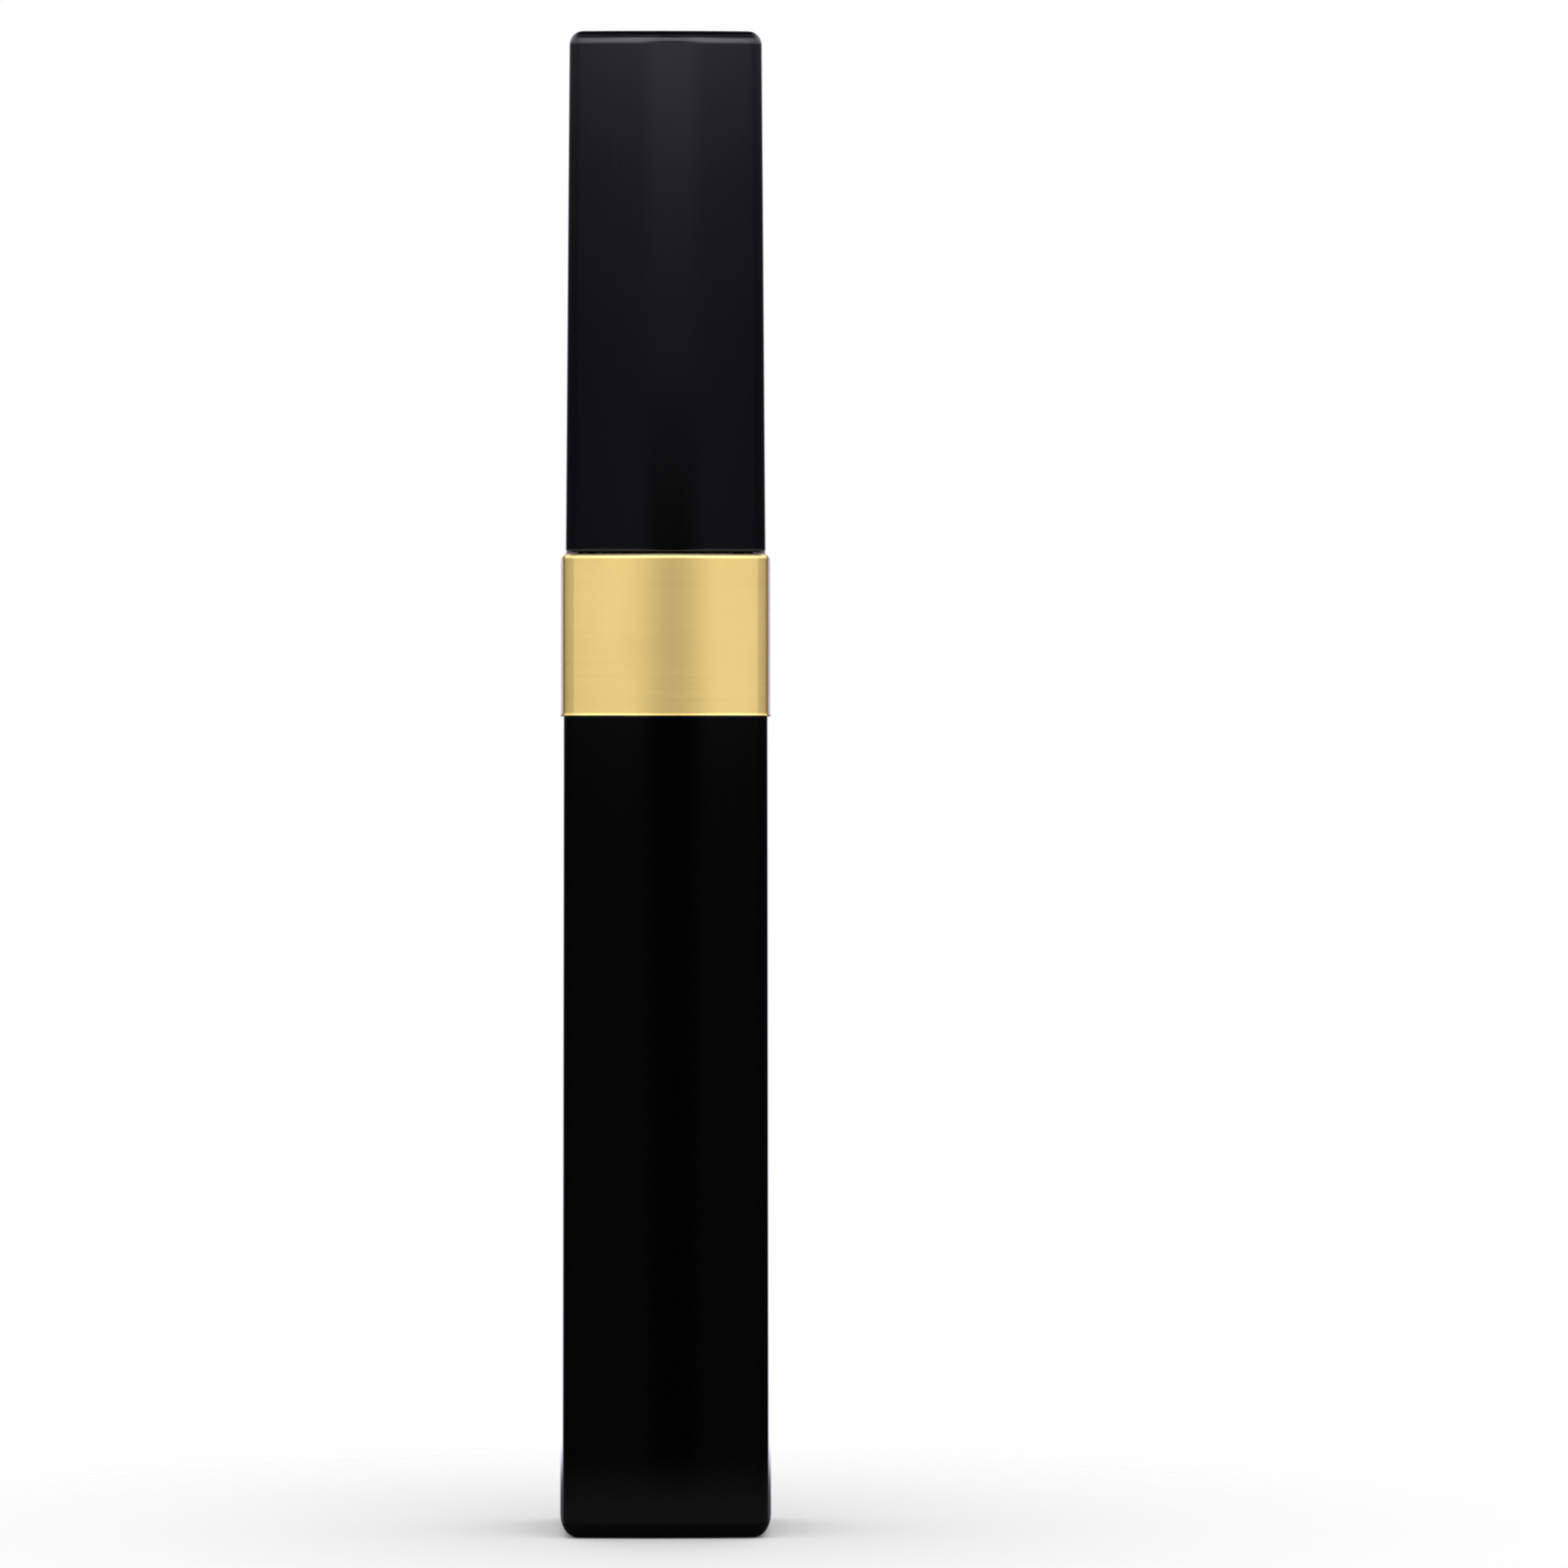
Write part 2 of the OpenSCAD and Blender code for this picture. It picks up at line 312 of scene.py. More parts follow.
@dataclass(frozen=True)
class ToothedFinish(Finish):
    """A surface with a fine even tooth, and patches of more and less sheen.

    Attributes:
        tooth_mm, tooth_height_mm: the distance between the tooth's pits, and their depth.
        patch_mm: the size of the patches.
        patchiness: how much rougher or smoother the patches are.
    """

    tooth_mm: float = 0.16
    tooth_height_mm: float = 0.004
    patch_mm: float = 2.5
    patchiness: float = 0.06

    def surface(self, tree: Tree, shader: Node) -> None:
        """Adds the tooth and the patches."""
        self.relief(tree, shader, self.grain(tree, self.tooth_mm), self.tooth_height_mm)
        self.vary(tree, shader, self.grain(tree, self.patch_mm), self.patchiness)


@dataclass(frozen=True)
class MouldedPolypropylene(ToothedFinish):
    """Polypropylene from a spark-eroded mould: a waxy, soft black with a fine tooth."""


@dataclass(frozen=True)
class BlankFilmLabel(ToothedFinish):
    """Blank polypropylene film label: even, off-white, with a faint tooth."""

    tooth_mm: float = 0.3
    tooth_height_mm: float = 0.003
    patch_mm: float = 3.0
    patchiness: float = 0.05


@dataclass(frozen=True)
class MouldedWandNylon(Finish):
    """Nylon rod from a polished mould, wiped down by the wiper at each use.

    The eye sees long soft streaks along the rod, where a thin film of mascara dried.

    Attributes:
        streak_mm, streak_height_mm: the distance between the streaks, and their height.
        streak_sheen: how much rougher or smoother a streak is than the rod.
    """

    streak_mm: float = 0.5
    streak_height_mm: float = 0.004
    streak_sheen: float = 0.12

    def surface(self, tree: Tree, shader: Node) -> None:
        """Adds the streaks in gloss and in relief."""
        streaks = self.grain(tree, self.streak_mm, 3.0, (1.0, 1.0, 0.06))
        self.relief(tree, shader, streaks, self.streak_height_mm)
        self.vary(tree, shader, streaks, self.streak_sheen)


@dataclass(frozen=True)
class MascaraOnElastomer(Finish):
    """Thermoplastic elastomer under a film of wet mascara.

    The film is thick and lumpy, so the eye sees a near-black body with many small wet glints.

    Attributes:
        lump_mm, lump_height_mm: the distance between the film's lumps, and their height.
        speck_mm, speck_height_mm: the distance between the specks on them, and their height.
        patch_mm: the size of the wetter and drier patches.
        dryness: how much rougher or smoother the patches are.
        wetness: how much of the surface has a wet coat.
    """

    lump_mm: float = 0.55
    lump_height_mm: float = 0.11
    speck_mm: float = 0.14
    speck_height_mm: float = 0.03
    patch_mm: float = 1.1
    dryness: float = 0.14
    wetness: float = 0.4

    def surface(self, tree: Tree, shader: Node) -> None:
        """Adds the film's lumps and specks, and its wetter and drier patches."""
        shader.inputs["Coat Weight"].default_value = self.wetness
        shader.inputs["Coat Roughness"].default_value = 0.05
        shader.inputs["Specular IOR Level"].default_value = 0.12
        under = self.relief(tree, shader, self.grain(tree, self.lump_mm), self.lump_height_mm)
        film = self.relief(tree, shader, self.grain(tree, self.speck_mm), self.speck_height_mm,
                           under)
        tree.links.new(film, shader.inputs["Coat Normal"])
        self.vary(tree, shader, self.grain(tree, self.patch_mm), self.dryness)


@dataclass(frozen=True)
class SoftPolyethylene(Finish):
    """Soft natural polyethylene, milky and a little see-through, stained by the mascara.

    Attributes:
        stain: the sRGB colour of the mascara's stain.
        stain_reach_mm: how far out from the axis the stain reaches.
        ragged_mm: how far the stain's edge wanders in and out.
        tooth_mm, tooth_height_mm: the distance between the mould's pits, and their depth.
    """

    stain: str = "#15130F"
    stain_reach_mm: float = 4.7
    ragged_mm: float = 0.7
    tooth_mm: float = 0.4
    tooth_height_mm: float = 0.006

    def surface(self, tree: Tree, shader: Node) -> None:
        """Adds the light that goes in, the stain from the bore outwards, and the tooth."""
        shader.inputs["Subsurface Weight"].default_value = 0.25
        shader.inputs["Subsurface Radius"].default_value = (0.9, 0.8, 0.7)
        shader.inputs["Subsurface Scale"].default_value = 0.6 * MM
        place = add_node(tree, "ShaderNodeTexCoord")
        flat = add_node(tree, "ShaderNodeVectorMath", {"operation": "MULTIPLY", 1: (1, 1, 0)},
                        {0: place.outputs["Object"]})
        out = add_node(tree, "ShaderNodeVectorMath", {"operation": "LENGTH"},
                       {0: flat.outputs["Vector"]})
        ragged = add_node(tree, "ShaderNodeMath", {
            "operation": "MULTIPLY_ADD", 1: 2 * self.ragged_mm * MM, 2: -self.ragged_mm * MM,
        }, {0: self.grain(tree, 1.3, 3.0)})
        edge = add_node(tree, "ShaderNodeMath", {"operation": "ADD"},
                        {0: out.outputs["Value"], 1: ragged.outputs["Value"]})
        clean = add_node(tree, "ShaderNodeMapRange", {
            "interpolation_type": "SMOOTHSTEP",
            "From Min": (self.stain_reach_mm - 0.25) * MM,
            "From Max": (self.stain_reach_mm + 0.35) * MM,
        }, {"Value": edge.outputs["Value"]})
        mix = add_node(tree, "ShaderNodeMix", {
            "data_type": "RGBA", 6: linear(self.stain), 7: linear(self.colour),
        }, {0: clean.outputs["Result"]})
        tree.links.new(mix.outputs[2], shader.inputs["Base Color"])
        self.relief(tree, shader, self.grain(tree, self.tooth_mm), self.tooth_height_mm)


@dataclass(frozen=True)
class ClosedCellFoam(Finish):
    """Punched polyethylene foam sheet: dull, with small closed cells.

    Attributes:
        cell_mm, cell_depth_mm: the size and the depth of the cells.
        patch_mm: the size of the patches that handling dulled.
        patchiness: how much rougher or smoother they are.
    """

    cell_mm: float = 0.22
    cell_depth_mm: float = 0.03
    patch_mm: float = 0.8
    patchiness: float = 0.05

    def surface(self, tree: Tree, shader: Node) -> None:
        """Adds the cells as shallow pits."""
        place = add_node(tree, "ShaderNodeTexCoord")
        cells = add_node(tree, "ShaderNodeTexVoronoi", {"Scale": per_metre(self.cell_mm)},
                         {"Vector": place.outputs["Object"]})
        self.relief(tree, shader, cells.outputs["Distance"], self.cell_depth_mm)
        self.vary(tree, shader, self.grain(tree, self.patch_mm), self.patchiness)


@dataclass(frozen=True)
class StudioPaper(Finish):
    """Seamless white background paper, which fades into the light round it.

    Attributes:
        painted_shade_in_gloss: the sRGB grey that glossy rays see in place of the paper, painted
            shade that keeps it dim in reflections.
        solid_mm, faded_mm: the radii where the paper starts to fade and where it is gone.
    """

    # painted shade: the dim grey that reflections show in place of the white paper
    painted_shade_in_gloss: str = "#3A3A3A"
    solid_mm: float = 24.0
    faded_mm: float = 90.0

    def surface(self, tree: Tree, shader: Node) -> None:
        """Fades the paper out away from the middle, and paints it a dim grey for glossy rays, as
        shade in the tube's gloss.
        """
        # Painted shade: glossy rays see the paper as a dim grey instead of its own white.
        path = add_node(tree, "ShaderNodeLightPath")
        card = add_node(tree, "ShaderNodeMix", {
            "data_type": "RGBA", 6: linear(self.colour), 7: linear(self.painted_shade_in_gloss),
        }, {0: path.outputs["Is Glossy Ray"]})
        tree.links.new(card.outputs[2], shader.inputs["Base Color"])
        place = add_node(tree, "ShaderNodeTexCoord")
        out = add_node(tree, "ShaderNodeVectorMath", {"operation": "LENGTH"},
                       {0: place.outputs["Object"]})
        solid = add_node(tree, "ShaderNodeMapRange", {
            "interpolation_type": "SMOOTHSTEP",
            "From Min": self.solid_mm * MM, "From Max": self.faded_mm * MM,
            "To Min": 1.0, "To Max": 0.0,
        }, {"Value": out.outputs["Value"]})
        tree.links.new(solid.outputs["Result"], shader.inputs["Alpha"])


CASE_ABS = GlossMouldedABS("case_gloss_abs", "#020202", 0.05, 1.5)
CAP_ABS = GlossMouldedABS("cap_gloss_abs", "#020202", 0.05, 1.5)
BAND_METAL = SatinAnodisedAluminium("band_gold_anodised", "#FADC86", 0.25, metallic=1.0)
VIAL_PP = MouldedPolypropylene("vial_moulded_pp", "#0B0B0C", 0.36, 1.46)
INSERT_PP = MouldedPolypropylene("insert_moulded_pp", "#0F0F10", 0.42, 1.46)
WAND_PA = MouldedWandNylon("wand_moulded_nylon", "#040303", 0.34, 1.38)
BRUSH_TPE = MascaraOnElastomer("brush_mascara_on_tpe", "#020202", 0.4, 1.4)
WIPER_PE = SoftPolyethylene("wiper_soft_pe", "#DCDAD3", 0.42)
WASHER_FOAM = ClosedCellFoam("washer_pe_foam", "#CFCEC9", 0.7)
LABEL_FILM = BlankFilmLabel("label_blank_film", "#DAD9D6", 0.5)
FLOOR_PAPER = StudioPaper("studio_paper", "#F4F4F4", 0.9)


# ---------------- shapes


@dataclass(frozen=True)
class BowedSquare:
    """Outline of a square tube: four sides that swell a little, and rounded upright edges.

    Attributes:
        swell: how far a side swells, as a share of the half width.
        side_steps: the points along a side.
        edge_steps: the points round an upright edge.
    """

    swell: float = 0.4 / 9.0
    side_steps: int = 22
    edge_steps: int = 14

    def ring(self, z: float, half: float, edge: float) -> Ring:
        """Lays the outline out at one height.

        Args:
            z: the height, in millimetres.
            half: half of the width across the middle of two sides, in millimetres.
            edge: the radius of the upright edges, in millimetres.

        Returns:
            The outline's points in metres, counter-clockwise from above.
        """
        bow = max(self.swell * half, 1e-4)
        side = (half * half + bow * bow) / (2 * bow)
        back = side - half
        centre = (math.sqrt(2 * (side - edge) ** 2 - back * back) - back) / 2
        turn = math.atan2(centre, centre + back)
        quarter = []
        for i in range(self.side_steps):
            t = turn * (2 * i / self.side_steps - 1)
            quarter.append((side * math.cos(t) - back, side * math.sin(t)))
        for i in range(self.edge_steps):
            u = turn + (math.pi / 2 - 2 * turn) * i / self.edge_steps
            quarter.append((centre + edge * math.cos(u), centre + edge * math.sin(u)))
        points = []
        for k in range(4):
            c, s = round(math.cos(k * math.pi / 2)), round(math.sin(k * math.pi / 2))
            points += [((x * c - y * s) * MM, (x * s + y * c) * MM, z * MM) for x, y in quarter]
        return points

    def rounding(
        self, z: float, half: float, edge: float, radius: float, upper: bool, steps: int = 8,
    ) -> list[Ring]:
        """Rounds a rim off, from the lower ring to the upper one.

        Args:
            z: the height of the rim's outer corner, in millimetres.
            half: the half width at that corner, in millimetres.
            edge: the radius of the upright edges, in millimetres.
            radius: the rim's own radius, in millimetres.
            upper: whether the wall is below the rim, and not above it.
            steps: the rings that the rounding takes.

        Returns:
            The rings, in order of height.
        """
        rings = []
        for i in range(steps + 1):
            a = (i if upper else steps - i) / steps * math.pi / 2
            cut = radius * (1 - math.cos(a))
            rise = radius * (1 - math.sin(a)) * (-1 if upper else 1)
            rings.append(self.ring(z + rise, half - cut, max(edge - cut, 0.25)))
        return rings


STRAIGHT = BowedSquare(swell=0.0)
BOWED = BowedSquare()


def circle(z: float, radius: float, steps: int = 96) -> Ring:
    """Lays a circle out round the tube's axis.

    Args:
        z: its height, in millimetres.
        radius: its radius, in millimetres.
        steps: its points.

    Returns:
        The points in metres, counter-clockwise from above.
    """
    return [
        (radius * MM * math.cos(math.tau * i / steps), radius * MM * math.sin(math.tau * i / steps),
         z * MM)
        for i in range(steps)
    ]


def stitch(shape: bmesh.types.BMesh, rings: Sequence[Ring], looped: bool = False) -> None:
    """Adds rings of equal length to a mesh, with faces from each to the next.

    Args:
        shape: the mesh.
        rings: the rings in order.
        looped: whether the last ring joins the first. If not, both ends get a flat face.
    """
    rows = [[shape.verts.new(point) for point in ring] for ring in rings]
    for low, high in zip(rows, rows[1:] + rows[:1] if looped else rows[1:]):
        for i in range(len(low)):
            k = (i + 1) % len(low)
            shape.faces.new((low[i], low[k], high[k], high[i]))
    if not looped:
        shape.faces.new(rows[0][::-1])
        shape.faces.new(rows[-1])


def skin(name: str, rings: Sequence[Ring], looped: bool = False) -> Piece:
    """Skins rings of equal length into one closed, smooth piece.

    Args:
        name: the piece's name.
        rings: the rings in order, along the wall's outside and back along its inside.
        looped: whether the last ring joins the first.

    Returns:
        The new piece, in the scene.
    """
    shape = bmesh.new()
    stitch(shape, rings, looped)
    return place(shape, name)


def place(shape: bmesh.types.BMesh, name: str, crease_deg: float = 38.0) -> Piece:
    """Puts a shape in the scene, smooth but for its creases.

    Args:
        shape: the shape, in metres and in the CAD's frame. It is used up.
        name: the piece's name.
        crease_deg: the angle from which an edge stays sharp.

    Returns:
        The new piece.
    """
    mesh = bpy.data.meshes.new(name)
    bmesh.ops.recalc_face_normals(shape, faces=shape.faces)
    shape.to_mesh(mesh)
    shape.free()
    mesh.shade_smooth()
    mesh.set_sharp_from_angle(angle=math.radians(crease_deg))
    piece = bpy.data.objects.new(name, mesh)
    bpy.context.scene.collection.objects.link(piece)
    even = piece.modifiers.new("even_normals", "WEIGHTED_NORMAL")
    even.keep_sharp = True
    even.weight = 80
    return piece


def fit(
    piece: Piece, body: Body, finish: Finish, slot: str, *nodes: str,
) -> Piece:
    """Gives a piece its finish, its body and the CAD nodes that it stands for.

    Args:
        piece: the new piece.
        body: the body that it rides on.
        finish: its finish.
        slot: the record's material slot. It is not used.
        nodes: the CAD nodes that it stands for.

    Returns:
        The same piece.
    """
    piece.data.materials.append(finish.material())
    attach(piece, body.value)
    if nodes:
        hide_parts(*nodes)
    log.info("%s: %d faces, %s", piece.name, len(piece.data.polygons), finish.name)
    return piece


def dress(node: str, finish: Finish, edge_mm: float = 0.0) -> Piece:
    """Gives a CAD node its finish, and softens its edges as a mould does.

    Args:
        node: the CAD node's name.
        finish: its finish.
        edge_mm: how far its sharp edges are broken, in millimetres.

    Returns:
        The CAD node's object.
    """
    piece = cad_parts[node]
    if not piece.material_slots:
        piece.data.materials.append(finish.material())
    for slot in piece.material_slots:
        slot.material = finish.material()
    if edge_mm:
        soft = piece.modifiers.new("soft_edges", "BEVEL")
        soft.width = edge_mm * MM
        soft.segments = 2
        soft.limit_method = "ANGLE"
        soft.angle_limit = math.radians(40)
        soft.harden_normals = True
    log.info("%s: CAD node, %s", node, finish.name)
    return piece


# ---------------- the container


@dataclass
class Case:
    """The one-piece square case, and the blank label under it. Sizes are in millimetres.

    Attributes:
        height: from the foot to the shoulder under the band.
        foot_half, top_half: the half width at the foot and at the shoulder.
        edge: the radius of the upright edges.
        foot_round, shoulder_round: the radii of the foot's rim and the shoulder's.
        spigot_half: the half width of the stepped-in end that the band sits on.
        cavity_half: the half width of the space for the vial.
        spigot_round: the radius of the stepped-in end's rim.
        floor: the floor's thickness.
        recess_half, recess: the half width and the depth of the label's recess.
    """

    height: float = 69.4
    foot_half: float = 9.0
    top_half: float = 8.9
    edge: float = 1.0
    foot_round: float = 1.4
    shoulder_round: float = 0.06
    spigot_half: float = 8.49
    cavity_half: float = 7.65
    spigot_round: float = 0.15
    floor: float = 1.7
    recess_half: float = 5.7
    recess: float = 0.25

    def build(self) -> Piece:
        """Builds the case's skin, outside and in, and fits it."""
        spigot_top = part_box("outer_case")[1][2] / MM
        inner_edge = self.edge - 0.1
        rings = [
            STRAIGHT.ring(self.recess, self.recess_half, 0.2),
            STRAIGHT.ring(0.05, self.recess_half, 0.2),
            STRAIGHT.ring(0.0, self.recess_half + 0.05, 0.25),
            *BOWED.rounding(0.0, self.foot_half, self.edge, self.foot_round, upper=False),
            *(BOWED.ring(self.height * share, self.half_at(share), self.edge)
              for share in (0.3, 0.7)),
            *BOWED.rounding(self.height, self.top_half, self.edge, self.shoulder_round,
                            upper=True, steps=4),
            BOWED.ring(self.height, self.spigot_half, inner_edge),
            *BOWED.rounding(spigot_top, self.spigot_half, inner_edge, self.spigot_round,
                            upper=True, steps=3),
            BOWED.ring(spigot_top, self.cavity_half, inner_edge),
            BOWED.ring(self.floor, self.cavity_half, inner_edge),
        ]
        piece = skin("case_shell", rings)
        return fit(piece, Body.CONTAINER, CASE_ABS, "case_plastic", "outer_case")

    def half_at(self, share: float) -> float:
        """Gives the half width at a share of the height, because the case draws in upwards."""
        return self.foot_half + (self.top_half - self.foot_half) * share

    def dress(self) -> None:
        """Gives the label its finish."""
        dress("base_label", LABEL_FILM)


@dataclass
class Band:
    """The drawn aluminium sleeve. Sizes are in millimetres.

    Attributes:
        half: half of its width.
        sheet: the thickness of its sheet.
        edge: the radius of its upright edges.
        lip_half: the half width of the opening that its top edge is turned in to.
        flare, flare_height: how far and over what height the trimmed bottom edge spreads, which
            catches the light from above as a thin bright line.
    """

    half: float = 8.94
    sheet: float = 0.45
    edge: float = 1.0
    lip_half: float = 7.4
    flare: float = 0.06
    flare_height: float = 0.25

    def build(self) -> Piece:
        """Builds the sleeve with its turned-in lip, and fits it."""
        low, high = (corner[2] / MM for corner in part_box("gold_band"))
        inner, inner_edge = self.half - self.sheet, self.edge - 0.2
        under = high - self.sheet
        rings = [
            BOWED.ring(low, inner, inner_edge),
            BOWED.ring(low, self.half - 0.03, self.edge),
            BOWED.ring(low + 0.02, self.half + self.flare, self.edge),
            BOWED.ring(low + self.flare_height, self.half, self.edge),
            *BOWED.rounding(high, self.half, self.edge, self.sheet, upper=True, steps=8),
            BOWED.ring(high, self.lip_half + 0.15, inner_edge),
            BOWED.ring(high - 0.05, self.lip_half + 0.04, inner_edge),
            BOWED.ring(high - 0.15, self.lip_half, inner_edge),
            BOWED.ring(under, self.lip_half, inner_edge),
            BOWED.ring(under, inner, inner_edge),
        ]
        piece = skin("band_sleeve", rings, looped=True)
        return fit(piece, Body.CONTAINER, BAND_METAL, "gold_anodised", "gold_band")


@dataclass
class Container:
    """What stays in the hand: the case, the band, and the vial with its retainer and wiper."""

    case: Case = field(default_factory=Case)
    band: Band = field(default_factory=Band)

    def build(self) -> None:
        """Builds the case and the band."""
        self.case.build()
        self.band.build()

    def dress(self) -> None:
        """Gives the container's CAD nodes their finishes."""
        self.case.dress()
        dress("vial", VIAL_PP, 0.1)
        dress("vial_retainer", INSERT_PP, 0.08)
        dress("wiper", WIPER_PE, 0.06)


# ---------------- the applicator


@dataclass
class Cap:
    """The square cap's outer shell. Sizes are in millimetres.

    Attributes:
        mouth_half, top_half: the half width at the mouth and at the top.
        edge: the radius of the upright edges.
        top_round, mouth_round: the radii of the top's rim and the mouth's.
        crown: how far the top face domes.
        wall: the shell's thickness.
        roof: the thickness over the hollow.
    """

    mouth_half: float = 8.725
    top_half: float = 8.4
    edge: float = 1.0
    top_round: float = 1.2
    mouth_round: float = 0.25
    crown: float = 0.2
    wall: float = 1.25
    roof: float = 1.4

    def build(self) -> Piece:
        """Builds the shell, inside and out, and fits it."""
        low, high = (corner[2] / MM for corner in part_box("outer_cap"))
        face_z, face = high - self.crown, self.top_half - self.top_round
        ceiling = face_z - self.roof
        inner = self.mouth_half - self.wall
        rings = [
            BOWED.ring(ceiling, self.top_half - self.wall, 0.8),
            BOWED.ring(low + 0.2, inner, 0.8),
            BOWED.ring(low, inner + 0.15, 0.8),
            *BOWED.rounding(low, self.mouth_half, self.edge, self.mouth_round, upper=False,
                            steps=5),
            *(BOWED.ring(low + (high - low) * share, self.half_at(share), self.edge)
              for share in (0.35, 0.7)),
            *BOWED.rounding(face_z, self.top_half, self.edge, self.top_round, upper=True,
                            steps=10),
        ]
        for share in (0.97, 0.9, 0.8, 0.7, 0.6, 0.5, 0.4, 0.3, 0.2, 0.1, 0.03):
            rings.append(self.crowned(BOWED.ring(face_z, face * share, 0.3 * share), face))
        piece = skin("cap_shell", rings)
        return fit(piece, Body.APPLICATOR, CAP_ABS, "cap_plastic", "outer_cap")

    def crowned(self, ring: Ring, face: float) -> Ring:
        """Raises a ring of the flat top to the dome.

        Args:
            ring: the ring.
            face: the half width where the dome starts, in millimetres.

        Returns:
            The ring on the dome, which is highest over the axis.
        """
        reach = face * MM
        return [(x, y, z + self.crown * MM * (1 - (x / reach) ** 2) * (1 - (y / reach) ** 2))
                for x, y, z in ring]

    def half_at(self, share: float) -> float:
        """Gives the half width at a share of the height, because the cap draws in upwards."""
        return self.mouth_half + (self.top_half - self.mouth_half) * share


@dataclass
class Wand:
    """The moulded rod, from its head in the cap's socket to the brush. Sizes are in millimetres.

    Attributes:
        radius: the rod's radius.
        collar, collar_height: the radius and height of the collar under the socket's mouth.
        head: the radius of the head in the socket.
        seam: how proud the mould's two parting lines stand.
        bore, bore_depth: the radius and depth of the hole that the brush's shank sits in.
    """

    radius: float = 2.25
    collar: float = 3.4
    collar_height: float = 0.77
    head: float = 2.7
    seam: float = 0.03
    bore: float = 1.1
    bore_depth: float = 8.0

    def build(self) -> Piece:
        """Builds the rod with its parting lines, and fits it."""
        low, high = (corner[2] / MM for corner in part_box("wand_stem"))
        under = self.collar_z()
        profile = [
            (low + self.bore_depth, self.bore), (low + 0.02, self.bore), (low, self.bore + 0.05),
            (low, self.radius - 0.2), (low + 0.06, self.radius - 0.06),
            (low + 0.2, self.radius), (low + 12, self.radius), (low + 30, self.radius),
            (under, self.radius), (under, self.collar), (under + self.collar_height, self.collar),
            (under + self.collar_height, self.head), (high - 0.6, self.head),
            (high, self.head - 0.6),
        ]
        rings = [self.seamed(circle(z, radius)) if radius == self.radius else circle(z, radius)
                 for z, radius in profile]
        piece = skin("wand_rod", rings)
        return fit(piece, Body.APPLICATOR, WAND_PA, "wand_plastic", "wand_stem")

    def collar_z(self) -> float:
        """Gives the height of the collar's underside, on the washer."""
        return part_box("seal_washer")[1][2] / MM + 0.08

    def seamed(self, ring: Ring) -> Ring:
        """Raises the two parting lines on a ring of the rod."""
        raised = []
        for x, y, z in ring:
            share = 1 + self.seam / self.radius * math.exp(-((y / MM) / 0.09) ** 2)
            raised.append((x * share, y * share, z))
        return raised


